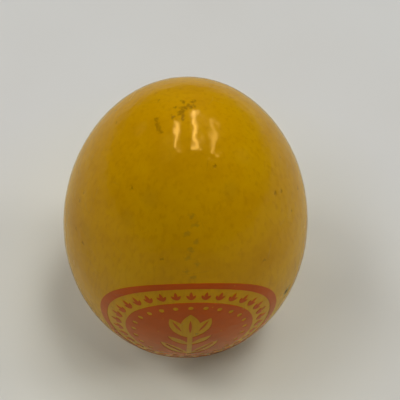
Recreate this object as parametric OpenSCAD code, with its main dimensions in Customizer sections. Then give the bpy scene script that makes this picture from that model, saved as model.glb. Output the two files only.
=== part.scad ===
// Turned hardwood souvenir egg: gloss yellow paint, with a round red seal printed on its front.
// The egg stands on a small flat at its blunt end. The origin is the middle of that flat,
// +Z runs up to the narrow tip, and the seal faces -Y.

/* [Egg] */
// Height from the flat base to the narrow tip
egg_h = 63; // [52:1:76]
// Width at the widest point
egg_w = 45; // [40:1:54]
// Diameter of the flat that the egg stands on
base_d = 16; // [12:1:20]
// How much slimmer the upper end is than the lower end
taper = 0.2; // [0.1:0.05:0.3]

/* [Coats] */
// Thickness of the primer on the bare wood
primer_t = 0.1; // [0.05:0.01:0.2]
// Thickness of the gloss enamel on the primer
enamel_t = 0.2; // [0.1:0.01:0.3]
// Thickness of the printed ink on the enamel
ink_t = 0.05; // [0.03:0.01:0.1]

/* [Seal] */
// Height of the seal's centre above the base
seal_z = 28.3; // [26:0.1:32]
// Outer diameter of the printed ring
seal_d = 31; // [28:0.5:32]
// Width of the printed ring
ring_w = 1.2; // [0.8:0.1:1.6]
// Diameter of the filled disc inside the ring
disc_d = 22.2; // [21:0.1:23]
// Number of leaf sprigs in the band between ring and disc
sprig_count = 32; // [24:1:34]
// Height of one leaf sprig
sprig_h = 1.8; // [1.4:0.1:2]
// Number of unprinted dots around the disc
dot_count = 24; // [16:1:28]
// Diameter of one dot
dot_d = 0.9; // [0.6:0.1:1.1]
// Distance from the disc's rim to the middle of the dots
dot_inset = 1.4; // [1.1:0.1:1.6]

/* [Hidden] */
$fn = 64;
profile_steps = 60;         // points down the egg's outline
belly_r = egg_w / 2;
stem_w = 0.9;               // width of the flower's stem
vein_w = 0.36;              // width of the line down each lower leaf
petal_lean = 27;            // lean of the outer petals
leaf_lean = 40;             // lean of the lower leaves

// The outline is an ellipse whose radius is divided by sqrt(1 + taper u), where u runs from
// 1 at the tip to -1 at the blunt end. widest_u is where that curve bulges most.
widest_u = (sqrt(1 - taper * taper) - 1) / taper;
bulge = sqrt((1 - widest_u * widest_u) / (1 + taper * widest_u));
flat_q = pow(bulge * base_d / egg_w, 2);
flat_u = -(flat_q * taper + sqrt(pow(flat_q * taper, 2) + 4 * (1 - flat_q))) / 2;
half_h = egg_h / (1 - flat_u);
middle_z = egg_h - half_h;

function outline_r(t) = belly_r / bulge * sin(t) / sqrt(1 + taper * cos(t));
function outline_z(t) = middle_z + half_h * cos(t);

// Outward normal of the outline at angle t, from the tip (0) to the blunt end (180)
function slope_r(t) = belly_r / bulge * (cos(t) / sqrt(1 + taper * cos(t))
    + taper * pow(sin(t), 2) / (2 * pow(1 + taper * cos(t), 1.5)));
function outline_normal(t) = [half_h * sin(t), slope_r(t)] / norm([half_h * sin(t), slope_r(t)]);
function outline_point(t, grow) = [outline_r(t), outline_z(t)] + grow * outline_normal(t);

// Solid egg whose skin lies grow outside the painted surface, with its flat at -grow
module egg_solid(grow) {
    rotate_extrude()
        intersection() {
            polygon([for (i = [0:profile_steps]) outline_point(180 * i / profile_steps, grow)]);
            translate([0, -grow])
                square([egg_w, egg_h + 2 * grow]);
        }
}

// A coat between two depths of the egg
module coat(outer, inner) {
    difference() {
        egg_solid(outer);
        egg_solid(inner);
    }
}

// Ink laid on the front of the enamel in the shape of the flat artwork below it
module print_on_front() {
    intersection() {
        coat(ink_t, 0);
        translate([0, 0, seal_z])
            rotate([90, 0, 0])
                linear_extrude(egg_w)
                    children();
    }
}

// Leaf shape with its stalk end at the origin and its tip at [0, length]
module leaf(length, width) {
    arc_r = (length * length + width * width) / (4 * width);
    translate([0, length / 2])
        intersection_for (side = [-1, 1])
            translate([side * (arc_r - width / 2), 0])
                circle(arc_r);
}

module around(count, radius) {
    for (i = [0:count - 1])
        rotate(360 * i / count)
            translate([0, radius])
                children();
}

// One sprig: an upright leaf between two leaning ones
module sprig() {
    leaf(sprig_h, sprig_h * 0.32);
    for (side = [-1, 1])
        rotate(side * 38)
            leaf(sprig_h * 0.72, sprig_h * 0.28);
}

// Flower that the disc leaves unprinted: a bloom of three petals, a stem and two pairs of leaves
module flower_shape() {
    translate([0, 0.6])
        leaf(7.4, 3.4);
    translate([-stem_w / 2, -8.6])
        square([stem_w, 10]);
    for (side = [-1, 1]) {
        translate([side * 0.4, 0.4])
            rotate(-side * petal_lean)
                leaf(6.8, 2.6);
        translate([side * 0.2, -8.2])
            rotate(-side * leaf_lean)
                leaf(7.6, 2.2);
        translate([0, -2.8])
            rotate(-side * 50)
                leaf(5, 1.5);
    }
}

// Fine printed lines down the petals and the lower leaves
module vein_shape() {
    translate([0, 2])
        leaf(4.2, 0.5);
    for (side = [-1, 1]) {
        translate([side * 1.5, 2.6])
            rotate(-side * petal_lean)
                leaf(3.4, 0.4);
        translate([side * 1.2, -6.8])
            rotate(-side * leaf_lean)
                translate([-vein_w / 2, 0])
                    square([vein_w, 4.6]);
    }
}

module wood_body() {
    color("burlywood")
        egg_solid(-enamel_t - primer_t);
}

module primer_coat() {
    color("ivory")
        coat(-enamel_t, -enamel_t - primer_t);
}

module yellow_enamel() {
    color("gold")
        coat(0, -enamel_t);
}

module seal_ring() {
    color("orangered")
        print_on_front()
            difference() {
                circle(seal_d / 2);
                circle(seal_d / 2 - ring_w);
            }
}

module seal_border() {
    band_r = (seal_d / 2 - ring_w + disc_d / 2) / 2;
    color("orangered")
        print_on_front()
            around(sprig_count, band_r - sprig_h / 2)
                sprig();
}

module seal_disc() {
    color("orangered")
        print_on_front()
            difference() {
                circle(disc_d / 2);
                around(dot_count, disc_d / 2 - dot_inset)
                    circle(dot_d / 2);
                flower_shape();
            }
}

module seal_veins() {
    color("orangered")
        print_on_front()
            vein_shape();
}

wood_body();
primer_coat();
yellow_enamel();
seal_ring();
seal_border();
seal_disc();
seal_veins();
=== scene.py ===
import math
import random

import bmesh
import bpy
from mathutils import Matrix, Vector
from mathutils.geometry import delaunay_2d_cdt
from mathutils.kdtree import KDTree


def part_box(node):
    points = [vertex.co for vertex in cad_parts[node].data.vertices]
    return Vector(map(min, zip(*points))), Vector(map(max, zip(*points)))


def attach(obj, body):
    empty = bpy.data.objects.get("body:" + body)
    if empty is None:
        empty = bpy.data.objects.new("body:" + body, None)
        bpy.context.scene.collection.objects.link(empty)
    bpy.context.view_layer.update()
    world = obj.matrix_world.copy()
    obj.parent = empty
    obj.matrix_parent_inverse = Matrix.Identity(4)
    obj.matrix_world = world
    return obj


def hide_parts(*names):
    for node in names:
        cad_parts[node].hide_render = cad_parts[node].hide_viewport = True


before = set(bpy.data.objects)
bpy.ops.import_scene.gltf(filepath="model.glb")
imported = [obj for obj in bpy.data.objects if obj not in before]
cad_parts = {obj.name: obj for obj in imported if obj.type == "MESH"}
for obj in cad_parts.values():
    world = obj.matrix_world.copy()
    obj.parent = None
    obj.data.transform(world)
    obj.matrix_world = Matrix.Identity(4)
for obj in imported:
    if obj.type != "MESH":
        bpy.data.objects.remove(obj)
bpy.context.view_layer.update()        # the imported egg: bodies, nodes and record
mm = 0.001


def hexColour(code):     # "#rrggbb" in sRGB to linear RGBA
    channels = [int(code[i:i + 2], 16) / 255 for i in (1, 3, 5)]
    linear = [c / 12.92 if c <= 0.04045 else ((c + 0.055) / 1.055) ** 2.4 for c in channels]
    return (*linear, 1.0)


def addNode(tree, kind, links=None, **settings):
    # links: input name or number -> a socket to join to it, or a value to set on it
    made = tree.nodes.new(kind)
    for name, value in settings.items():
        setattr(made, name, value)
    for place, source in (links or {}).items():
        if isinstance(source, bpy.types.NodeSocket):
            tree.links.new(source, made.inputs[place])
        else:
            made.inputs[place].default_value = source
    return made


def addObject(name, data):
    made = bpy.data.objects.new(name, data)
    bpy.context.scene.collection.objects.link(made)
    return made


# ---- egg outline: an ellipse whose radius is divided by sqrt(1 + taper * u), u = 1 at the tip
eggLow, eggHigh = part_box("yellow_enamel")
egg = {
    "height": eggHigh.z - eggLow.z,
    "width": eggHigh.x - eggLow.x,
    "baseWidth": 16 * mm,        # flat that the egg stands on
    "taper": 0.2,                # how much slimmer the upper end is
    "arris": 0.3 * mm,           # rounding where the flat meets the side
    "edgeVerts": 128,            # points along each edge of the cube that becomes the egg
    "lumpSize": 11 * mm,         # hand sanding leaves the turned wood slightly uneven
    "lumpDepth": 0.05 * mm,
    "rippleSize": 1.2 * mm,      # sag and pull in the wet enamel, which makes a mirrored lamp waver
    "rippleDepth": 0.085 * mm,
    "dentSpacing": 6.5 * mm,     # knocks from handling
    "dentSize": 0.8 * mm,
    "dentDepth": 0.05 * mm,
    "seed": 4.0,
}


def outlineConstants(shape):
    taper = shape["taper"]
    widest = (math.sqrt(1 - taper * taper) - 1) / taper
    bulge = math.sqrt((1 - widest * widest) / (1 + taper * widest))
    cut = (bulge * shape["baseWidth"] / shape["width"]) ** 2
    flatLevel = -(cut * taper + math.sqrt((cut * taper) ** 2 + 4 * (1 - cut))) / 2
    shape["halfHeight"] = shape["height"] / (1 - flatLevel)
    shape["middle"] = shape["height"] - shape["halfHeight"]
    shape["reach"] = shape["width"] / 2 / bulge


outlineConstants(egg)


def onEgg(azimuth, height):
    # point on the smooth egg; azimuth in degrees from the seal, positive to its right
    level = (height - egg["middle"]) / egg["halfHeight"]
    radius = egg["reach"] * math.sqrt((1 - level * level) / (1 + egg["taper"] * level))
    turn = math.radians(azimuth)
    return Vector((radius * math.sin(turn), -radius * math.cos(turn), height))


# Knocks that broke the paint, in steps of 5 degrees and 1 mm: (azimuth, height in mm, radius in mm)
knocks = [
    (-75, 48, 0.7), (-75, 46, 0.7), (-90, 47, 0.6), (-80, 40, 0.5), (-60, 41, 0.7), (-45, 56, 0.6),
    (-15, 48, 0.5), (60, 52, 0.8), (65, 51, 0.6), (65, 46, 0.6), (80, 46, 0.6), (25, 60, 0.5),
    (150, 34, 1.0), (-140, 44, 0.8), (-165, 22, 0.9), (105, 17, 0.9), (-110, 28, 0.8), (25, 9, 0.8),
    (130, 52, 0.6), (-120, 55, 0.6),
]
knockDepth = 0.1                 # share of its radius
chips = [(52, 28, 1.6), (-150, 12, 0.9), (100, 8, 0.8)]      # knocks that went down to the primer

skinSizes = {
    "Reach": egg["reach"], "Half height": egg["halfHeight"], "Middle": egg["middle"],
    "Taper": egg["taper"], "Arris": egg["arris"],
    "Lump size": egg["lumpSize"], "Lump depth": egg["lumpDepth"],
    "Ripple size": egg["rippleSize"], "Ripple depth": egg["rippleDepth"],
    "Dent spacing": egg["dentSpacing"], "Dent size": egg["dentSize"], "Dent depth": egg["dentDepth"],
    "Seed": egg["seed"],
}


def newTree(name, inputs, outputs, kind="GeometryNodeTree"):
    tree = bpy.data.node_groups.new(name, kind)
    for side, sockets in (("INPUT", inputs), ("OUTPUT", outputs)):
        for label, sort in sockets:
            tree.interface.new_socket(label, in_out=side, socket_type="NodeSocket" + sort)
    return tree


def skinLinks(given, extra):     # passes the egg's sizes on to an eggSkin group
    links = {label: given[label] for label in skinSizes}
    links.update(extra)
    return links


def makeEggSkin():
    # where the painted surface lies in a given direction from the egg's middle, with lumps and dents
    tree = newTree("eggSkin", [("Direction", "Vector"), ("Lift", "Float")]
                   + [(label, "Float") for label in skinSizes], [("Position", "Vector")])
    given = addNode(tree, "NodeGroupInput").outputs
    part = addNode(tree, "ShaderNodeSeparateXYZ", {0: given["Direction"]}).outputs
    slim = addNode(tree, "ShaderNodeMath", {0: part["Z"], 1: given["Taper"], 2: 1.0},
                   operation="MULTIPLY_ADD").outputs[0]
    slimRoot = addNode(tree, "ShaderNodeMath", {0: slim}, operation="SQRT").outputs[0]
    breadth = addNode(tree, "ShaderNodeMath", {0: given["Reach"], 1: slimRoot},
                      operation="DIVIDE").outputs[0]
    stretch = addNode(tree, "ShaderNodeCombineXYZ",
                      {0: breadth, 1: breadth, 2: given["Half height"]}).outputs[0]
    middle = addNode(tree, "ShaderNodeCombineXYZ", {2: given["Middle"]}).outputs[0]
    smooth = addNode(tree, "ShaderNodeVectorMath", {0: given["Direction"], 1: stretch, 2: middle},
                     operation="MULTIPLY_ADD").outputs[0]

    # outward normal: (halfHeight x, halfHeight y, breadth (z + taper (1 - z z) / (2 slim)))
    square = addNode(tree, "ShaderNodeMath", {0: part["Z"], 1: part["Z"]}, operation="MULTIPLY").outputs[0]
    across = addNode(tree, "ShaderNodeMath", {0: 1.0, 1: square}, operation="SUBTRACT").outputs[0]
    lean = addNode(tree, "ShaderNodeMath", {0: across, 1: given["Taper"]}, operation="MULTIPLY").outputs[0]
    twice = addNode(tree, "ShaderNodeMath", {0: slim, 1: 2.0}, operation="MULTIPLY").outputs[0]
    tilt = addNode(tree, "ShaderNodeMath", {0: lean, 1: twice}, operation="DIVIDE").outputs[0]
    climb = addNode(tree, "ShaderNodeMath", {0: part["Z"], 1: tilt}, operation="ADD").outputs[0]
    slope = addNode(tree, "ShaderNodeMath", {0: breadth, 1: climb}, operation="MULTIPLY").outputs[0]
    sideX = addNode(tree, "ShaderNodeMath", {0: given["Half height"], 1: part["X"]},
                    operation="MULTIPLY").outputs[0]
    sideY = addNode(tree, "ShaderNodeMath", {0: given["Half height"], 1: part["Y"]},
                    operation="MULTIPLY").outputs[0]
    gradient = addNode(tree, "ShaderNodeCombineXYZ", {0: sideX, 1: sideY, 2: slope}).outputs[0]
    normal = addNode(tree, "ShaderNodeVectorMath", {0: gradient}, operation="NORMALIZE").outputs[0]

    shifted = addNode(tree, "ShaderNodeVectorMath", {0: smooth, 1: given["Seed"]},
                      operation="ADD").outputs[0]
    rise = given["Lift"]
    for size, depth in (("Lump size", "Lump depth"), ("Ripple size", "Ripple depth")):
        scale = addNode(tree, "ShaderNodeMath", {0: 1.0, 1: given[size]}, operation="DIVIDE").outputs[0]
        wave = addNode(tree, "ShaderNodeTexNoise",
                       {"Vector": shifted, "Scale": scale, "Detail": 0.0}).outputs[0]
        centred = addNode(tree, "ShaderNodeMath", {0: wave, 1: 0.5}, operation="SUBTRACT").outputs[0]
        rise = addNode(tree, "ShaderNodeMath", {0: centred, 1: given[depth], 2: rise},
                       operation="MULTIPLY_ADD").outputs[0]
    scale = addNode(tree, "ShaderNodeMath", {0: 1.0, 1: given["Dent spacing"]},
                    operation="DIVIDE").outputs[0]
    cells = addNode(tree, "ShaderNodeTexVoronoi", {"Vector": shifted, "Scale": scale}).outputs["Distance"]
    away = addNode(tree, "ShaderNodeMath", {0: cells, 1: given["Dent spacing"]},
                   operation="MULTIPLY").outputs[0]
    dent = addNode(tree, "ShaderNodeMapRange",
                   {"Value": away, "From Max": given["Dent size"], "To Min": given["Dent depth"],
                    "To Max": 0.0},
                   interpolation_type="SMOOTHSTEP").outputs[0]
    rise = addNode(tree, "ShaderNodeMath", {0: rise, 1: dent}, operation="SUBTRACT").outputs[0]
    for azimuth, height, size in knocks + chips:
        away = addNode(tree, "ShaderNodeVectorMath", {0: smooth, 1: onEgg(azimuth, height * mm)},
                       operation="DISTANCE").outputs["Value"]
        dent = addNode(tree, "ShaderNodeMapRange",
                       {"Value": away, "From Max": size * mm, "To Min": size * knockDepth * mm,
                        "To Max": 0.0},
                       interpolation_type="SMOOTHSTEP").outputs[0]
        rise = addNode(tree, "ShaderNodeMath", {0: rise, 1: dent}, operation="SUBTRACT").outputs[0]

    lifted = addNode(tree, "ShaderNodeVectorMath", {0: normal, "Scale": rise}, operation="SCALE").outputs[0]
    raised = addNode(tree, "ShaderNodeVectorMath", {0: smooth, 1: lifted}, operation="ADD").outputs[0]
    place = addNode(tree, "ShaderNodeSeparateXYZ", {0: raised}).outputs
    standing = addNode(tree, "ShaderNodeMath", {0: place["Z"], 1: 0.0, 2: given["Arris"]},
                       operation="SMOOTH_MAX").outputs[0]
    final = addNode(tree, "ShaderNodeCombineXYZ", {0: place["X"], 1: place["Y"], 2: standing}).outputs[0]
    addNode(tree, "NodeGroupOutput", {"Position": final})
    return tree


def finishTree(tree, geometry, given):      # what every tree ends with
    real = addNode(tree, "GeometryNodeRealizeInstances", {0: geometry}).outputs[0]
    coated = addNode(tree, "GeometryNodeSetMaterial",
                     {"Geometry": real, "Material": given["Material"]}).outputs[0]
    addNode(tree, "NodeGroupOutput", {"Geometry": coated})


def makeEggTree():
    # an evenly divided cube blown up to a ball, then pulled out to the egg's skin
    tree = newTree("turnedEgg", [("Edge vertices", "Int"), ("Material", "Material")]
                   + [(label, "Float") for label in skinSizes], [("Geometry", "Geometry")])
    given = addNode(tree, "NodeGroupInput").outputs
    edge = given["Edge vertices"]
    cube = addNode(tree, "GeometryNodeMeshCube",
                   {"Size": (2, 2, 2), "Vertices X": edge, "Vertices Y": edge,
                    "Vertices Z": edge}).outputs["Mesh"]
    place = addNode(tree, "GeometryNodeInputPosition").outputs[0]
    angle = addNode(tree, "ShaderNodeVectorMath", {0: place, "Scale": math.pi / 4},
                    operation="SCALE").outputs[0]
    even = addNode(tree, "ShaderNodeVectorMath", {0: angle}, operation="TANGENT").outputs[0]
    ball = addNode(tree, "ShaderNodeVectorMath", {0: even}, operation="NORMALIZE").outputs[0]
    skin = addNode(tree, "GeometryNodeGroup", skinLinks(given, {"Direction": ball, "Lift": 0.0}),
                   node_tree=eggSkin).outputs[0]
    moved = addNode(tree, "GeometryNodeSetPosition", {"Geometry": cube, "Position": skin}).outputs[0]
    soft = addNode(tree, "GeometryNodeSetShadeSmooth", {"Geometry": moved}).outputs[0]
    finishTree(tree, soft, given)
    return tree


def makePrintTree():
    # repeats flat artwork around the seal's centre, then lays it on the front of the egg
    tree = newTree("sealPrint", [("Geometry", "Geometry"), ("Count", "Int"), ("Radius", "Float"),
                                 ("Seal height", "Float"), ("Slab", "Float"), ("Ink", "Float"),
                                 ("Sink", "Float"), ("Material", "Material")]
                   + [(label, "Float") for label in skinSizes], [("Geometry", "Geometry")])
    given = addNode(tree, "NodeGroupInput").outputs
    spots = addNode(tree, "GeometryNodePoints", {"Count": given["Count"]}).outputs[0]
    index = addNode(tree, "GeometryNodeInputIndex").outputs[0]
    step = addNode(tree, "ShaderNodeMath", {0: math.tau, 1: given["Count"]}, operation="DIVIDE").outputs[0]
    turn = addNode(tree, "ShaderNodeMath", {0: index, 1: step}, operation="MULTIPLY").outputs[0]
    turned = addNode(tree, "ShaderNodeCombineXYZ", {1: turn}).outputs[0]
    arm = addNode(tree, "ShaderNodeCombineXYZ", {2: given["Radius"]}).outputs[0]
    swung = addNode(tree, "ShaderNodeVectorRotate", {"Vector": arm, "Rotation": turned},
                    rotation_type="EULER_XYZ").outputs[0]
    placed = addNode(tree, "GeometryNodeSetPosition", {"Geometry": spots, "Position": swung}).outputs[0]
    copies = addNode(tree, "GeometryNodeInstanceOnPoints",
                     {"Points": placed, "Instance": given["Geometry"], "Rotation": turned}).outputs[0]
    flat = addNode(tree, "GeometryNodeRealizeInstances", {0: copies}).outputs[0]

    # flat (x, z) on the seal to the direction from the egg's middle whose front point lies over it
    position = addNode(tree, "GeometryNodeInputPosition").outputs[0]
    place = addNode(tree, "ShaderNodeSeparateXYZ", {0: position}).outputs
    height = addNode(tree, "ShaderNodeMath", {0: place["Z"], 1: given["Seal height"]},
                     operation="ADD").outputs[0]
    fromMiddle = addNode(tree, "ShaderNodeMath", {0: height, 1: given["Middle"]},
                         operation="SUBTRACT").outputs[0]
    level = addNode(tree, "ShaderNodeMath", {0: fromMiddle, 1: given["Half height"]},
                    operation="DIVIDE").outputs[0]
    slim = addNode(tree, "ShaderNodeMath", {0: level, 1: given["Taper"], 2: 1.0},
                   operation="MULTIPLY_ADD").outputs[0]
    slimRoot = addNode(tree, "ShaderNodeMath", {0: slim}, operation="SQRT").outputs[0]
    breadth = addNode(tree, "ShaderNodeMath", {0: given["Reach"], 1: slimRoot},
                      operation="DIVIDE").outputs[0]
    side = addNode(tree, "ShaderNodeMath", {0: place["X"], 1: breadth}, operation="DIVIDE").outputs[0]
    sideSquare = addNode(tree, "ShaderNodeMath", {0: side, 1: side}, operation="MULTIPLY").outputs[0]
    used = addNode(tree, "ShaderNodeMath", {0: level, 1: level, 2: sideSquare},
                   operation="MULTIPLY_ADD").outputs[0]
    left = addNode(tree, "ShaderNodeMath", {0: 1.0, 1: used}, operation="SUBTRACT").outputs[0]
    depth = addNode(tree, "ShaderNodeMath", {0: left}, operation="SQRT").outputs[0]
    front = addNode(tree, "ShaderNodeMath", {0: depth, 1: -1.0}, operation="MULTIPLY").outputs[0]
    direction = addNode(tree, "ShaderNodeCombineXYZ", {0: side, 1: front, 2: level}).outputs[0]

    # the slab's back lies just under the enamel's face and its front stands one ink film proud
    lift = addNode(tree, "ShaderNodeMapRange",
                   {"Value": place["Y"], "From Min": 0.0, "From Max": given["Slab"],
                    "To Min": given["Sink"], "To Max": given["Ink"]}).outputs[0]
    skin = addNode(tree, "GeometryNodeGroup", skinLinks(given, {"Direction": direction, "Lift": lift}),
                   node_tree=eggSkin).outputs[0]
    laid = addNode(tree, "GeometryNodeSetPosition", {"Geometry": flat, "Position": skin}).outputs[0]
    soft = addNode(tree, "GeometryNodeSetShadeSmooth", {"Geometry": laid}).outputs[0]
    finishTree(tree, soft, given)
    return tree


def grow(name, tree, inputs, start=None):
    # runs a tree on a starting mesh and keeps the result as a plain mesh
    holder = addObject(name + "Holder", start or bpy.data.meshes.new(name + "Start"))
    modifier = holder.modifiers.new("tree", "NODES")
    modifier.node_group = tree
    for item in tree.interface.items_tree:
        if item.in_out == "INPUT" and item.name in inputs:
            modifier[item.identifier] = inputs[item.name]
    graph = bpy.context.evaluated_depsgraph_get()
    mesh = bpy.data.meshes.new_from_object(holder.evaluated_get(graph))
    bpy.data.objects.remove(holder)
    mesh.name = name
    return addObject(name, mesh)


eggSkin = makeEggSkin()
eggTree = makeEggTree()
printTree = makePrintTree()
print("trees made")


# ---- materials
def newMaterial(name):
    made = bpy.data.materials.new(name)
    made.use_nodes = True
    made.node_tree.nodes.clear()
    return made, made.node_tree


def objectInMm(tree):
    place = addNode(tree, "ShaderNodeTexCoord").outputs["Object"]
    return addNode(tree, "ShaderNodeVectorMath", {0: place, "Scale": 1 / mm}, operation="SCALE").outputs[0]


def onTip(azimuth, radius):      # point near the narrow tip, radius in mm from the egg's axis
    level = math.sqrt(1 - (radius * mm / egg["reach"]) ** 2 * (1 + egg["taper"]))
    return onEgg(azimuth, egg["middle"] + egg["halfHeight"] * level)


# What handling and the lathe left on the paint. Sizes are in mm; the prints share it with the enamel.
wear = {
    "mottleSize": 13,            # patches where the enamel lies thicker
    "grainWidth": 0.7,           # wood grain that shows faintly through the coats, along the egg
    "grainStretch": 0.045,
    "grainDepth": 0.006,
    "peelSize": 1.0,             # orange peel, drawn a little coarse so that it shows
    "peelDepth": 0.006,
    "speckSpacing": 4.2,         # dust and pinholes in the enamel
    "speckSize": 0.3,
    "speckDepth": 0.02,
    "scratchSpacing": 9,         # hairline scratches, drawn 0.1 mm wide so that they show
    "scratchWidth": 0.1,
    "scratchDepth": 0.006,
    "scratchPatches": 0.24,      # patches of them for each mm
    "smearSize": 7,              # greasy patches that dull the gloss
    "rubHeight": (0.1, 0.9),     # the foot is rubbed below these heights, in arcs
    "rubPatches": 0.35,          # for each mm
    "shake": 0.7,                # how ragged the outline of each mark is
    "shakeSize": 0.625,
    "knockStain": 0.75,          # share of a knock's radius that is dark
    "knockStrength": 0.45,
    "chipStain": 0.65,           # share of a chip's radius that is dark
    "roughness": 0.13,
}

# Spots in a row round the tip, from one azimuth to another, at radii in mm that take turns
driveRing = {"from": 150, "to": 310, "count": 13, "radii": (1.5, 2.5, 1.2), "size": 0.6,
             "strength": 0.5}    # broken ring left by the lathe's drive
dragMark = {"from": -85, "to": -60, "count": 6, "radii": (5.2,), "size": 0.6,
            "strength": 0.35}    # short scuff beside it
# Hand dirt in a wavering line down the front, and in wide faint patches: (azimuth, height in mm)
smudgeLine = {"top": 55, "bottom": 45, "count": 9, "sway": 3, "wander": 2.4, "size": 0.7,
              "strength": 0.28}
patchSize = 2.3                  # mm
patchStrength = 0.08
patches = [(-30, 56), (-40, 52), (-60, 44), (30, 57), (-125, 30), (165, 40), (110, 44), (70, 30)]
fineSpecks = {"seed": 4, "count": 26, "low": 8, "high": 61, "size": 0.45, "strength": 0.35}


def ringSpots(ring):
    step = (ring["to"] - ring["from"]) / (ring["count"] - 1)
    radii = ring["radii"]
    return [onTip(ring["from"] + step * i, radii[i % len(radii)]) for i in range(ring["count"])]


def fineSpots():
    draw = random.Random(fineSpecks["seed"])
    return [onEgg(draw.uniform(-180, 180), draw.uniform(fineSpecks["low"], fineSpecks["high"]) * mm)
            for _ in range(fineSpecks["count"])]


def smudgeSpots():
    step = (smudgeLine["bottom"] - smudgeLine["top"]) / (smudgeLine["count"] - 1)
    sway, wander = smudgeLine["sway"], smudgeLine["wander"]
    return [onEgg(sway * math.sin(wander * i), (smudgeLine["top"] + step * i) * mm)
            for i in range(smudgeLine["count"])]


def strongest(tree, masks):
    total = masks[0]
    for mask in masks[1:]:
        total = addNode(tree, "ShaderNodeMath", {0: total, 1: mask}, operation="MAXIMUM").outputs[0]
    return total


def markAt(tree, where, middle, size, strength):      # one round mark that fades out at its size
    away = addNode(tree, "ShaderNodeVectorMath", {0: where, 1: middle / mm},
                   operation="DISTANCE").outputs["Value"]
    return addNode(tree, "ShaderNodeMapRange", {"Value": away, "From Min": size * 0.2, "From Max": size,
                                                "To Min": strength, "To Max": 0.0},
                   interpolation_type="SMOOTHSTEP").outputs[0]


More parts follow.
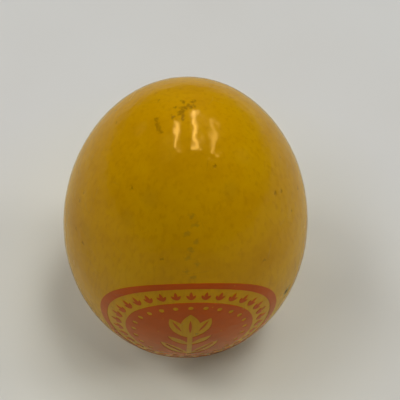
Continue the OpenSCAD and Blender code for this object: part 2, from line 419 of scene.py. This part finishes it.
def makeWear():
    tree = newTree("paintWear", [], [(label, "Float") for label in
                                     ("Mottle", "Grain", "Grime", "Smudge", "Bare", "Height", "Roughness")],
                   "ShaderNodeTree")
    where = objectInMm(tree)
    mottle = addNode(tree, "ShaderNodeTexNoise",
                     {"Vector": where, "Scale": 1 / wear["mottleSize"], "Detail": 5.0,
                      "Roughness": 0.66}).outputs[0]
    along = addNode(tree, "ShaderNodeVectorMath", {0: where, 1: (1, 1, wear["grainStretch"])},
                    operation="MULTIPLY").outputs[0]
    grain = addNode(tree, "ShaderNodeTexNoise", {"Vector": along, "Scale": 1 / wear["grainWidth"],
                                                 "Detail": 2.0}).outputs[0]
    peel = addNode(tree, "ShaderNodeTexNoise", {"Vector": where, "Scale": 1 / wear["peelSize"],
                                                "Detail": 1.0}).outputs[0]

    # ragged coordinates, so that no mark is a neat disc
    shake = addNode(tree, "ShaderNodeTexNoise",
                    {"Vector": where, "Scale": 1 / wear["shakeSize"], "Detail": 2.0}).outputs["Color"]
    centred = addNode(tree, "ShaderNodeVectorMath", {0: shake, 1: (-0.5, -0.5, -0.5)}).outputs[0]
    swing = addNode(tree, "ShaderNodeVectorMath", {0: centred, "Scale": wear["shake"] * 2},
                    operation="SCALE").outputs[0]
    ragged = addNode(tree, "ShaderNodeVectorMath", {0: where, 1: swing}).outputs[0]

    # dust specks: one in each cell, most of them too small to see
    cells = addNode(tree, "ShaderNodeTexVoronoi",
                    {"Vector": ragged, "Scale": 1 / wear["speckSpacing"]}).outputs
    chance = addNode(tree, "ShaderNodeSeparateColor", {0: cells["Color"]}).outputs[0]
    rare = addNode(tree, "ShaderNodeMath", {0: chance, 1: 3.0}, operation="POWER").outputs[0]
    speckReach = addNode(tree, "ShaderNodeMath",
                         {0: rare, 1: wear["speckSize"] / wear["speckSpacing"], 2: 1e-4},
                         operation="MULTIPLY_ADD").outputs[0]
    ratio = addNode(tree, "ShaderNodeMath", {0: cells["Distance"], 1: speckReach},
                    operation="DIVIDE").outputs[0]
    dust = addNode(tree, "ShaderNodeMapRange", {"Value": ratio, "From Min": 0.5, "From Max": 1.2,
                                                "To Min": 0.55, "To Max": 0.0}).outputs[0]

    # hairlines: the walls between large cells, seen only in patches
    walls = addNode(tree, "ShaderNodeTexVoronoi", {"Vector": where, "Scale": 1 / wear["scratchSpacing"]},
                    feature="DISTANCE_TO_EDGE").outputs["Distance"]
    wallMm = addNode(tree, "ShaderNodeMath", {0: walls, 1: wear["scratchSpacing"]},
                     operation="MULTIPLY").outputs[0]
    line = addNode(tree, "ShaderNodeMapRange", {"Value": wallMm, "From Max": wear["scratchWidth"],
                                                "To Min": 1.0, "To Max": 0.0}).outputs[0]
    patch = addNode(tree, "ShaderNodeTexNoise",
                    {"Vector": where, "Scale": wear["scratchPatches"], "Detail": 1.0}).outputs[0]
    shown = addNode(tree, "ShaderNodeMapRange",
                    {"Value": patch, "From Min": 0.56, "From Max": 0.64}).outputs[0]
    scratch = addNode(tree, "ShaderNodeMath", {0: line, 1: shown}, operation="MULTIPLY").outputs[0]

    stain, strength = wear["knockStain"], wear["knockStrength"]
    marks = [markAt(tree, ragged, onEgg(azimuth, height * mm), size * stain, strength)
             for azimuth, height, size in knocks]
    marks += [markAt(tree, ragged, onEgg(azimuth, height * mm), size * wear["chipStain"], 1.0)
              for azimuth, height, size in chips]
    marks += [markAt(tree, ragged, spot, ring["size"], ring["strength"])
              for ring in (driveRing, dragMark) for spot in ringSpots(ring)]
    marks += [markAt(tree, ragged, spot, fineSpecks["size"], fineSpecks["strength"])
              for spot in fineSpots()]
    named = strongest(tree, marks)
    dirt = [markAt(tree, ragged, spot, smudgeLine["size"], smudgeLine["strength"])
            for spot in smudgeSpots()]
    dirt += [markAt(tree, ragged, onEgg(azimuth, height * mm), patchSize, patchStrength)
             for azimuth, height in patches]
    smudge = strongest(tree, dirt)

    # the foot: paint rubbed through in arcs where the egg stands and slides
    climb = addNode(tree, "ShaderNodeSeparateXYZ", {0: where}).outputs["Z"]
    low = addNode(tree, "ShaderNodeMapRange", {"Value": climb, "From Min": wear["rubHeight"][0],
                                               "From Max": wear["rubHeight"][1],
                                               "To Min": 1.0, "To Max": 0.0}).outputs[0]
    rub = addNode(tree, "ShaderNodeTexNoise",
                  {"Vector": where, "Scale": wear["rubPatches"], "Detail": 4.0}).outputs[0]
    rubbed = addNode(tree, "ShaderNodeMapRange",
                     {"Value": rub, "From Min": 0.55, "From Max": 0.62}).outputs[0]
    foot = addNode(tree, "ShaderNodeMath", {0: low, 1: rubbed}, operation="MULTIPLY").outputs[0]
    chipped = strongest(tree, [markAt(tree, ragged, onEgg(azimuth, height * mm), size, 1.0)
                               for azimuth, height, size in chips])
    bare = addNode(tree, "ShaderNodeMath", {0: foot, 1: chipped}, operation="MAXIMUM").outputs[0]

    grime = strongest(tree, [named, dust])
    height = addNode(tree, "ShaderNodeMath", {0: grain, 1: wear["grainDepth"]},
                     operation="MULTIPLY").outputs[0]
    for layer, depth in ((peel, wear["peelDepth"]), (grime, -wear["speckDepth"]),
                         (scratch, -wear["scratchDepth"]), (bare, -2 * wear["speckDepth"])):
        height = addNode(tree, "ShaderNodeMath", {0: layer, 1: depth, 2: height},
                         operation="MULTIPLY_ADD").outputs[0]

    smear = addNode(tree, "ShaderNodeTexNoise", {"Vector": ragged, "Scale": 1 / wear["smearSize"],
                                                 "Detail": 4.0}).outputs[0]
    rough = addNode(tree, "ShaderNodeMapRange", {"Value": smear, "From Min": 0.4, "From Max": 0.7,
                                                 "To Min": wear["roughness"],
                                                 "To Max": wear["roughness"] * 1.6}).outputs[0]
    for layer, amount in ((grime, 0.12), (scratch, 0.15), (smudge, 0.2), (low, 0.15)):
        rough = addNode(tree, "ShaderNodeMath", {0: layer, 1: amount, 2: rough},
                        operation="MULTIPLY_ADD").outputs[0]
    faint = addNode(tree, "ShaderNodeMath", {0: scratch, 1: 0.15, 2: grime},
                    operation="MULTIPLY_ADD").outputs[0]
    addNode(tree, "NodeGroupOutput", {"Mottle": mottle, "Grain": grain, "Grime": faint, "Smudge": smudge,
                                      "Bare": bare, "Height": height, "Roughness": rough})
    return tree


def blendColour(tree, share, first, second):
    return addNode(tree, "ShaderNodeMix", {0: share, 6: first, 7: second}, data_type="RGBA").outputs[2]


def spread(tree, value, low, high, amount=1.0):      # 0 at low, amount at high
    return addNode(tree, "ShaderNodeMapRange", {"Value": value, "From Min": low, "From Max": high,
                                                "To Max": amount}).outputs[0]


wearColours = {
    "smudge": "#5c5a28",         # greenish on yellow: grey hand dirt seen through the gloss
    "grime": "#4a2600",
    "primer": "#bfa868",
    "chip": "#35220f",           # dirt-filled bottom of a chip
}


def finishPaint(tree, colour, marks, settings):
    # the common end of both paints: grime, bumps and gloss
    soiled = blendColour(tree, marks["Smudge"], colour, hexColour(wearColours["smudge"]))
    dirty = blendColour(tree, marks["Grime"], soiled, hexColour(wearColours["grime"]))
    edge = spread(tree, marks["Bare"], 0.35, 0.6)
    worn = blendColour(tree, edge, dirty, hexColour(wearColours["primer"]))
    through = spread(tree, marks["Bare"], 0.75, 0.95)
    final = blendColour(tree, through, worn, hexColour(wearColours["chip"]))
    bump = addNode(tree, "ShaderNodeBump",
                   {"Height": marks["Height"], "Strength": 1.0, "Distance": mm}).outputs[0]
    # bare primer and wood have no gloss left
    rough = addNode(tree, "ShaderNodeMath", {0: edge, 1: 0.75, 2: marks["Roughness"]},
                    operation="MULTIPLY_ADD").outputs[0]
    shader = addNode(tree, "ShaderNodeBsdfPrincipled",
                     {"Base Color": final, "Roughness": rough, "Normal": bump, "IOR": settings["ior"],
                      "Specular Tint": hexColour(settings["reflection"])})
    addNode(tree, "ShaderNodeOutputMaterial", {"Surface": shader.outputs[0]})


# Gloss alkyd enamel, brushed or dipped over primer: saturated, with a clear wet-looking top that
# mirrors lamps as wavering streaks
enamel = {
    "colour": "#cc9500",
    "deep": "#bd8500",           # where the coat lies thicker
    "lean": "#d4a000",           # where it lies thin over the pale primer
    "ior": 1.4,
    "reflection": "#ffd67c",     # the yellow film warms what it mirrors head on
}
# Pad-printed ink: one thin even film with pinholes, a touch less wet-looking than the enamel
ink = {
    "colour": "#c25000",
    "deep": "#b04300",
    "ior": 1.4,
    "reflection": "#ffd0a0",
    "pinholeSpacing": 0.9,       # mm
    "pinholeSize": 0.16,
}


def makeEnamel():
    made, tree = newMaterial("glossEnamel")
    marks = addNode(tree, "ShaderNodeGroup", node_tree=paintWear).outputs
    thick = blendColour(tree, spread(tree, marks["Mottle"], 0.5, 0.75), hexColour(enamel["colour"]),
                        hexColour(enamel["deep"]))
    thin = blendColour(tree, spread(tree, marks["Mottle"], 0.5, 0.25), thick, hexColour(enamel["lean"]))
    grained = blendColour(tree, spread(tree, marks["Grain"], 0.5, 0.8, 0.8), thin,
                          hexColour(enamel["deep"]))
    finishPaint(tree, grained, marks, enamel)
    return made


def makeInk():
    made, tree = newMaterial("padPrintInk")
    marks = addNode(tree, "ShaderNodeGroup", node_tree=paintWear).outputs
    uneven = blendColour(tree, spread(tree, marks["Mottle"], 0.4, 0.65), hexColour(ink["colour"]),
                         hexColour(ink["deep"]))
    where = objectInMm(tree)
    cells = addNode(tree, "ShaderNodeTexVoronoi",
                    {"Vector": where, "Scale": 1 / ink["pinholeSpacing"]}).outputs
    chance = addNode(tree, "ShaderNodeSeparateColor", {0: cells["Color"]}).outputs[0]
    reach = spread(tree, chance, 0.72, 1.0, ink["pinholeSize"] / ink["pinholeSpacing"])
    pinhole = addNode(tree, "ShaderNodeMath", {0: cells["Distance"], 1: reach},
                      operation="LESS_THAN").outputs[0]
    faded = addNode(tree, "ShaderNodeMath", {0: pinhole, 1: 0.7}, operation="MULTIPLY").outputs[0]
    printed = blendColour(tree, faded, uneven, hexColour(enamel["colour"]))
    finishPaint(tree, printed, marks, ink)
    return made


# Birch turned on a lathe and sanded: cream with faint growth rings, fine fibre along the egg
birch = {
    "colour": "#d9bd90",
    "late": "#bd9663",           # the darker late wood of each ring
    "pith": (19, 11),            # mm, the blank was sawn from beside the heart of the log
    "ringWidth": 2.4,
    "fibreWidth": 0.25,
    "fibreStretch": 0.03,
    "turningMark": 0.6,          # mm between the faint rings that the lathe leaves
    "swayReach": (9, 9, 0),      # mm that the growth rings wander
    "swayWaves": 0.03,           # for each mm
}


def makeBirch():
    made, tree = newMaterial("turnedBirch")
    where = objectInMm(tree)
    sway = addNode(tree, "ShaderNodeTexNoise",
                   {"Vector": where, "Scale": birch["swayWaves"], "Detail": 2.0}).outputs["Color"]
    bent = addNode(tree, "ShaderNodeVectorMath", {0: sway, 1: birch["swayReach"], 2: where},
                   operation="MULTIPLY_ADD").outputs[0]
    fromPith = addNode(tree, "ShaderNodeVectorMath", {0: bent, 1: (*birch["pith"], 0)},
                       operation="SUBTRACT").outputs[0]
    flat = addNode(tree, "ShaderNodeVectorMath", {0: fromPith, 1: (1, 1, 0)},
                   operation="MULTIPLY").outputs[0]
    reach = addNode(tree, "ShaderNodeVectorMath", {0: flat}, operation="LENGTH").outputs["Value"]
    years = addNode(tree, "ShaderNodeMath", {0: reach, 1: birch["ringWidth"]},
                    operation="DIVIDE").outputs[0]
    year = addNode(tree, "ShaderNodeMath", {0: years}, operation="FRACT").outputs[0]
    late = addNode(tree, "ShaderNodeMath", {0: year, 1: 4.0}, operation="POWER").outputs[0]
    along = addNode(tree, "ShaderNodeVectorMath", {0: where, 1: (1, 1, birch["fibreStretch"])},
                    operation="MULTIPLY").outputs[0]
    fibre = addNode(tree, "ShaderNodeTexNoise", {"Vector": along, "Scale": 1 / birch["fibreWidth"],
                                                 "Detail": 2.0}).outputs[0]
    lateShare = addNode(tree, "ShaderNodeMath", {0: late, 1: 0.6}, operation="MULTIPLY").outputs[0]
    ringed = blendColour(tree, lateShare, hexColour(birch["colour"]), hexColour(birch["late"]))
    colour = blendColour(tree, spread(tree, fibre, 0.5, 0.8, 0.6), ringed, hexColour(birch["late"]))
    climb = addNode(tree, "ShaderNodeSeparateXYZ", {0: where}).outputs["Z"]
    turns = addNode(tree, "ShaderNodeMath", {0: climb, 1: math.tau / birch["turningMark"]},
                    operation="MULTIPLY").outputs[0]
    groove = addNode(tree, "ShaderNodeMath", {0: turns}, operation="SINE").outputs[0]
    height = addNode(tree, "ShaderNodeMath", {0: groove, 1: 0.2, 2: fibre},
                     operation="MULTIPLY_ADD").outputs[0]
    bump = addNode(tree, "ShaderNodeBump", {"Height": height, "Distance": 0.02 * mm}).outputs[0]
    shader = addNode(tree, "ShaderNodeBsdfPrincipled",
                     {"Base Color": colour, "Roughness": spread(tree, fibre, 0.2, 0.8, 0.75),
                      "Normal": bump, "IOR": 1.5})
    addNode(tree, "ShaderNodeOutputMaterial", {"Surface": shader.outputs[0]})
    return made


# Chalky wood primer, sprayed and sanded back: dead matt, pale, with sanding lines round the egg
primer = {
    "colour": "#ece4d0",
    "thin": "#dccdae",           # sanded nearly through to the birch
    "patchSize": 9,
    "sprayGrain": 0.4,           # mm
    "sandingLine": 0.35,         # mm
    "sandingStretch": 0.04,
}


def makePrimer():
    made, tree = newMaterial("sandedPrimer")
    where = objectInMm(tree)
    patch = addNode(tree, "ShaderNodeTexNoise", {"Vector": where, "Scale": 1 / primer["patchSize"],
                                                 "Detail": 4.0}).outputs[0]
    spray = addNode(tree, "ShaderNodeTexNoise", {"Vector": where, "Scale": 1 / primer["sprayGrain"],
                                                 "Detail": 1.0}).outputs[0]
    around = addNode(tree, "ShaderNodeVectorMath",
                     {0: where, 1: (primer["sandingStretch"], primer["sandingStretch"], 1)},
                     operation="MULTIPLY").outputs[0]
    lines = addNode(tree, "ShaderNodeTexNoise", {"Vector": around, "Scale": 1 / primer["sandingLine"],
                                                 "Detail": 2.0}).outputs[0]
    colour = blendColour(tree, spread(tree, patch, 0.45, 0.75, 0.8), hexColour(primer["colour"]),
                         hexColour(primer["thin"]))
    lined = blendColour(tree, spread(tree, lines, 0.55, 0.75, 0.35), colour, hexColour(primer["thin"]))
    height = addNode(tree, "ShaderNodeMath", {0: spray, 1: lines}).outputs[0]
    bump = addNode(tree, "ShaderNodeBump", {"Height": height, "Distance": 0.01 * mm}).outputs[0]
    shader = addNode(tree, "ShaderNodeBsdfPrincipled",
                     {"Base Color": lined, "Roughness": spread(tree, spray, -1.6, 1.0, 0.9),
                      "Normal": bump})
    addNode(tree, "ShaderNodeOutputMaterial", {"Surface": shader.outputs[0]})
    return made


paintWear = makeWear()
glossEnamel = makeEnamel()
padPrintInk = makeInk()
for node, material in (("wood_body", makeBirch()), ("primer_coat", makePrimer())):
    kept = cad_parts[node]
    kept.data.materials.clear()
    kept.data.materials.append(material)
print("paints mixed")


# ---- seal artwork, in mm on a flat sheet: x to the right, y up, the seal's centre at 0, 0
sealLow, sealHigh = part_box("seal_ring")
discLow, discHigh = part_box("seal_disc")
seal = {
    "height": (sealLow.z + sealHigh.z) / 2,
    "radius": (sealHigh.x - sealLow.x) / 2 / mm,
    "ringWidth": 1.2,
    "discRadius": (discHigh.x - discLow.x) / 2 / mm,
    "sprigCount": 32,
    "sprigHeight": 1.8,
    "dotCount": 24,
    "dotRadius": 0.45,
    "dotInset": 1.4,
    "stemWidth": 0.9,
    "veinWidth": 0.36,
    "petalLean": 27,
    "leafLean": 40,
    "grid": 0.3,                 # spacing of the points that let a print bend round the egg
    "edgeStep": 0.2,             # spacing of the points along an outline
    "slab": 1 * mm,
    "inkDepth": 0.05 * mm,
    "inkSink": -0.02 * mm,
}


def spun(point, degrees):
    turn = math.radians(degrees)
    return Vector((point[0] * math.cos(turn) - point[1] * math.sin(turn),
                   point[0] * math.sin(turn) + point[1] * math.cos(turn)))


def circleShape(radius, at=(0, 0)):
    count = max(16, round(math.tau * radius / seal["edgeStep"]))
    middle = Vector(at)
    outline = [middle + spun((radius, 0), 360 * i / count) for i in range(count)]
    return outline, lambda p: (p - middle).length < radius


def leafShape(length, width, at=(0, 0), lean=0):
    # two arcs that meet in points at the stalk end, at, and at the tip
    arc = (length * length + width * width) / (4 * width)
    half = math.asin(length / 2 / arc)
    count = max(6, round(length / seal["edgeStep"]))
    stalk = Vector(at)
    centres = [(side * (arc - width / 2), length / 2) for side in (-1, 1)]
    local = []
    for side, centre in zip((1, -1), centres):
        for i in range(count):
            angle = half * (2 * i / count - 1)
            local.append((centre[0] + side * arc * math.cos(angle),
                          centre[1] + side * arc * math.sin(angle)))
    outline = [stalk + spun(p, lean) for p in local]

    def contains(p):
        q = spun(p - stalk, -lean)
        return all((q - Vector(c)).length < arc for c in centres)
    return outline, contains


def barShape(width, length, at=(0, 0), lean=0):
    foot = Vector(at)
    count = round(length / seal["edgeStep"])
    rise = [(width / 2, length * i / count) for i in range(count + 1)]
    fall = [(-x, length - y) for x, y in rise]
    outline = [foot + spun(p, lean) for p in rise + fall]

    def contains(p):
        q = spun(p - foot, -lean)
        return abs(q[0]) < width / 2 and 0 < q[1] < length
    return outline, contains


def slabMesh(name, solids, holes=()):
    # fills the solids less the holes with small triangles and gives them thickness
    def kept(p):
        return any(inside(p) for _, inside in solids) and not any(inside(p) for _, inside in holes)

    points, edges = [], []
    for outline, _ in [*solids, *holes]:
        first, count = len(points), len(outline)
        points += outline
        edges += [(first + i, first + (i + 1) % count) for i in range(count)]
    rim = KDTree(len(points))
    for i, p in enumerate(points):
        rim.insert((*p, 0), i)
    rim.balance()
    reach = max(p.length for p in points)
    grid = seal["grid"]
    rows = math.ceil(reach / (grid * 0.866))
    columns = math.ceil(reach / grid)
    for row in range(-rows, rows + 1):
        for column in range(-columns, columns + 1):
            p = Vector(((column + row % 2 / 2) * grid, row * grid * 0.866))
            if kept(p) and rim.find((*p, 0))[2] > grid * 0.55:
                points.append(p)
    flat, _, faces, _, _, _ = delaunay_2d_cdt(points, edges, [], 0, 1e-6)
    faces = [f for f in faces if kept(sum((flat[i] for i in f), Vector((0, 0))) / len(f))]
    used = sorted({i for f in faces for i in f})
    order = {old: new for new, old in enumerate(used)}
    faces = [[order[i] for i in f] for f in faces]
    count = len(used)
    front = [(flat[i].x * mm, -seal["slab"], flat[i].y * mm) for i in used]
    back = [(x, 0, z) for x, _, z in front]
    sides = {(f[i], f[(i + 1) % 3]) for f in faces for i in range(3)}
    walls = [(b, a, a + count, b + count) for a, b in sides if (b, a) not in sides]
    walls.sort()
    mesh = bpy.data.meshes.new(name)
    mesh.from_pydata(front + back, [], faces + [[i + count for i in reversed(f)] for f in faces] + walls)
    mesh.update()
    return mesh


def layPrint(name, node, mesh, count=1, radius=0.0):
    piece = grow(name, printTree,
                 {**skinSizes, "Count": count, "Radius": radius, "Seal height": seal["height"],
                  "Slab": -seal["slab"], "Ink": seal["inkDepth"], "Sink": seal["inkSink"],
                  "Material": padPrintInk}, mesh)
    piece.data.set_sharp_from_angle(angle=math.radians(50))
    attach(piece, "root")
    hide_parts(node)
    return piece


def flowerShapes():
    petal, leaf, stem = seal["petalLean"], seal["leafLean"], seal["stemWidth"]
    shapes = [leafShape(7.4, 3.4, (0, 0.6)), barShape(stem, 10, (0, -8.6))]
    for side in (-1, 1):
        shapes.append(leafShape(6.8, 2.6, (side * 0.4, 0.4), -side * petal))
        shapes.append(leafShape(7.6, 2.2, (side * 0.2, -8.2), -side * leaf))
        shapes.append(leafShape(5, 1.5, (0, -2.8), -side * 50))
    return shapes


def veinShapes():
    petal, leaf = seal["petalLean"], seal["leafLean"]
    shapes = [leafShape(4.2, 0.5, (0, 2))]
    for side in (-1, 1):
        shapes.append(leafShape(3.4, 0.4, (side * 1.5, 2.6), -side * petal))
        shapes.append(barShape(seal["veinWidth"], 4.6, (side * 1.2, -6.8), -side * leaf))
    return shapes


def sprigShapes():
    tall = seal["sprigHeight"]
    return [leafShape(tall, tall * 0.32)] + [leafShape(tall * 0.72, tall * 0.28, lean=side * 38)
                                             for side in (-1, 1)]


def dotShapes():
    ring = seal["discRadius"] - seal["dotInset"]
    return [circleShape(seal["dotRadius"], spun((0, ring), 360 * i / seal["dotCount"]))
            for i in range(seal["dotCount"])]


ringInner = seal["radius"] - seal["ringWidth"]
bandMiddle = (ringInner + seal["discRadius"]) / 2
layPrint("sealRing", "seal_ring",
         slabMesh("ringSlab", [circleShape(seal["radius"])], [circleShape(ringInner)]))
layPrint("sealBorder", "seal_border", slabMesh("sprigSlab", sprigShapes()),
         seal["sprigCount"], (bandMiddle - seal["sprigHeight"] / 2) * mm)
layPrint("sealDisc", "seal_disc",
         slabMesh("discSlab", [circleShape(seal["discRadius"])], dotShapes() + flowerShapes()))
layPrint("sealVeins", "seal_veins", slabMesh("veinSlab", veinShapes()))
print("seal laid")

eggPiece = grow("enamelSkin", eggTree,
                {**skinSizes, "Edge vertices": egg["edgeVerts"], "Material": glossEnamel})
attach(eggPiece, "root")
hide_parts("yellow_enamel")
print("egg turned")


# ---- camera, floor and light
camera = {
    "distance": 166 * mm,        # from the egg's middle
    "azimuth": -3.7,             # degrees to the seal's left
    "elevation": 59.4,
    "lens": 81.0,                # on a 36 mm sensor
    "roll": 2.1,
    "pan": 0.90,                 # the egg sits a little left of and below the view's centre
    "tilt": 1.26,
}


def toward(azimuth, elevation):      # direction from the egg, in degrees; azimuth 0 is the seal's side
    turn, climb = math.radians(azimuth), math.radians(elevation)
    return Vector((math.sin(turn) * math.cos(climb), -math.cos(turn) * math.cos(climb), math.sin(climb)))


def placeCamera():
    data = bpy.data.cameras.new("camera")
    data.lens = camera["lens"]
    data.clip_start = 5 * mm
    made = addObject("camera", data)
    away = toward(camera["azimuth"], camera["elevation"])
    aim = (-away).to_track_quat("-Z", "Y").to_matrix().to_4x4()
    roll = Matrix.Rotation(math.radians(camera["roll"]), 4, "Z")
    pan = Matrix.Rotation(-math.radians(camera["pan"]), 4, "Y")
    tilt = Matrix.Rotation(math.radians(camera["tilt"]), 4, "X")
    spot = Matrix.Translation(Vector((0, 0, egg["middle"])) + away * camera["distance"])
    made.matrix_world = spot @ aim @ roll @ pan @ tilt
    bpy.context.scene.camera = made


studio = {
    "floorRadius": 0.9,          # metres
    "cloudSize": 60,             # mm, faint unevenness in the table's tone
    "fadeFrom": 0.2,
    "floor": "#dcdcd8",
    "floorShade": "#dad9d4",
    "floorPaintedBounce": "#dcdacc",      # painted warm shade and bounce light: close to the egg the table is painted with a little of its yellow
    "paintedBounceFrom": 0.025,
    "paintedBounceTo": 0.06,
    "floorPaintedReflection": "#cdbf98",  # painted reflection: the table's colour in the gloss only, with most of the blue taken out as the yellow film would swallow it
    "backdrop": "#c4c4bf",       # what stands behind the table in the low views
    "mirrored": "#5a4c38",       # what the gloss mirrors near the table's level
    "ceiling": "#0c0a06",        # and overhead, between the lamps
    "lampHeight": 1.2,           # the three long lamps that show as streaks in the gloss
    "lampColour": "#fff0d8",
}


def makeFloor():
    mesh = bpy.data.meshes.new("floor")
    form = bmesh.new()
    bmesh.ops.create_circle(form, cap_ends=True, segments=96, radius=studio["floorRadius"])
    form.to_mesh(mesh)
    form.free()
    made, tree = newMaterial("paleTable")
    where = objectInMm(tree)
    cloud = addNode(tree, "ShaderNodeTexNoise",
                    {"Vector": where, "Scale": 1 / studio["cloudSize"], "Detail": 3.0}).outputs[0]
    top = blendColour(tree, spread(tree, cloud, 0.35, 0.65), hexColour(studio["floor"]),
                      hexColour(studio["floorShade"]))
    flat = addNode(tree, "ShaderNodeVectorMath", {0: where}, operation="LENGTH").outputs["Value"]
    # painted bounce light and shade: the table turns yellower towards the egg, between the two radii
    withPaintedBounce = blendColour(tree, spread(tree, flat, studio["paintedBounceTo"] / mm, studio["paintedBounceFrom"] / mm), top,
                         hexColour(studio["floorPaintedBounce"]))
    ray = addNode(tree, "ShaderNodeLightPath").outputs
    # painted reflection: glossy rays see the table in its yellowed colour
    colour = blendColour(tree, ray["Is Glossy Ray"], withPaintedBounce, hexColour(studio["floorPaintedReflection"]))
    shader = addNode(tree, "ShaderNodeBsdfPrincipled", {"Base Color": colour, "Roughness": 1.0,
                                                        "Specular IOR Level": 0.0}).outputs[0]
    # far from the egg the table melts into the backdrop, so that low views show no horizon
    gone = addNode(tree, "ShaderNodeMapRange", {"Value": flat, "From Min": studio["fadeFrom"] / mm,
                                                "From Max": studio["floorRadius"] / mm},
                   interpolation_type="SMOOTHSTEP").outputs[0]
    clear = addNode(tree, "ShaderNodeBsdfTransparent").outputs[0]
    both = addNode(tree, "ShaderNodeMixShader", {0: gone, 1: shader, 2: clear}).outputs[0]
    addNode(tree, "ShaderNodeOutputMaterial", {"Surface": both})
    mesh.materials.append(made)
    addObject("floor", mesh)


# Soft boxes: azimuth and elevation in degrees as seen from the egg (0 is the seal's side), power in
# watts and size in metres. They hang at one distance and give soft, even brightness, but don't show
# in the gloss.
softBoxes = {
    "lowRight": (90, 25, 3.0, 0.3),
    "lowBehind": (180, 30, 2.5, 1.0),
    "lowLeft": (240, 25, 2.0, 0.3),
    "left": (270, 60, 2.5, 0.3),
    "highFrontLeft": (300, 55, 1.5, 0.3),
    "topRight": (60, 75, 2.5, 0.3),
    "topBehind": (120, 75, 3.0, 0.3),
}
boxDistance = 1.2

# Long lamps overhead, in metres: place to the side, where each begins and ends from front to back,
# and width; then power in watts
longLamps = {
    "lampLeft": (-0.35, -0.3, 0.6, 0.06, 5.5),
    "lampMiddle": (0.2, -0.3, 1.0, 0.07, 10.5),
    "lampRight": (0.75, -0.45, 0.75, 0.2, 8.5),
}


def placeLight(name, spot, size, power, target):
    data = bpy.data.lights.new(name, "AREA")
    data.shape = "RECTANGLE"
    data.size, data.size_y = size
    data.energy = power
    made = addObject(name, data)
    made.location = spot
    made.rotation_euler = (target - spot).to_track_quat("-Z", "Y").to_euler()
    return made


def placeLights():
    middle = Vector((0, 0, egg["middle"]))
    for name, (azimuth, elevation, power, size) in softBoxes.items():
        away = toward(azimuth, elevation)
        made = placeLight(name, middle + away * boxDistance, (size, size), power, middle)
        made.visible_glossy = False
    for name, (side, front, back, width, power) in longLamps.items():
        spot = middle + Vector((side, (front + back) / 2, studio["lampHeight"]))
        made = placeLight(name, spot, (width, back - front), power, spot - Vector((0, 0, 1)))
        made.data.color = hexColour(studio["lampColour"])[:3]
        made.visible_diffuse = False


def makeWorld():
    world = bpy.data.worlds.new("studio")
    bpy.context.scene.world = world
    world.use_nodes = True
    tree = world.node_tree
    tree.nodes.clear()
    ray = addNode(tree, "ShaderNodeLightPath").outputs
    sky = addNode(tree, "ShaderNodeTexCoord").outputs["Generated"]
    height = addNode(tree, "ShaderNodeSeparateXYZ", {0: sky}).outputs["Z"]
    up = addNode(tree, "ShaderNodeMapRange", {"Value": height, "From Min": 0.0, "From Max": 0.3}).outputs[0]
    mirrored = blendColour(tree, up, hexColour(studio["mirrored"]), hexColour(studio["ceiling"]))
    lit = blendColour(tree, ray["Is Glossy Ray"], (0, 0, 0, 1), mirrored)
    seen = blendColour(tree, ray["Is Camera Ray"], lit, hexColour(studio["backdrop"]))
    back = addNode(tree, "ShaderNodeBackground", {"Color": seen})
    addNode(tree, "ShaderNodeOutputWorld", {"Surface": back.outputs[0]})


placeCamera()
makeFloor()
placeLights()
makeWorld()
bpy.context.scene.view_settings.view_transform = "Standard"
print("studio set")
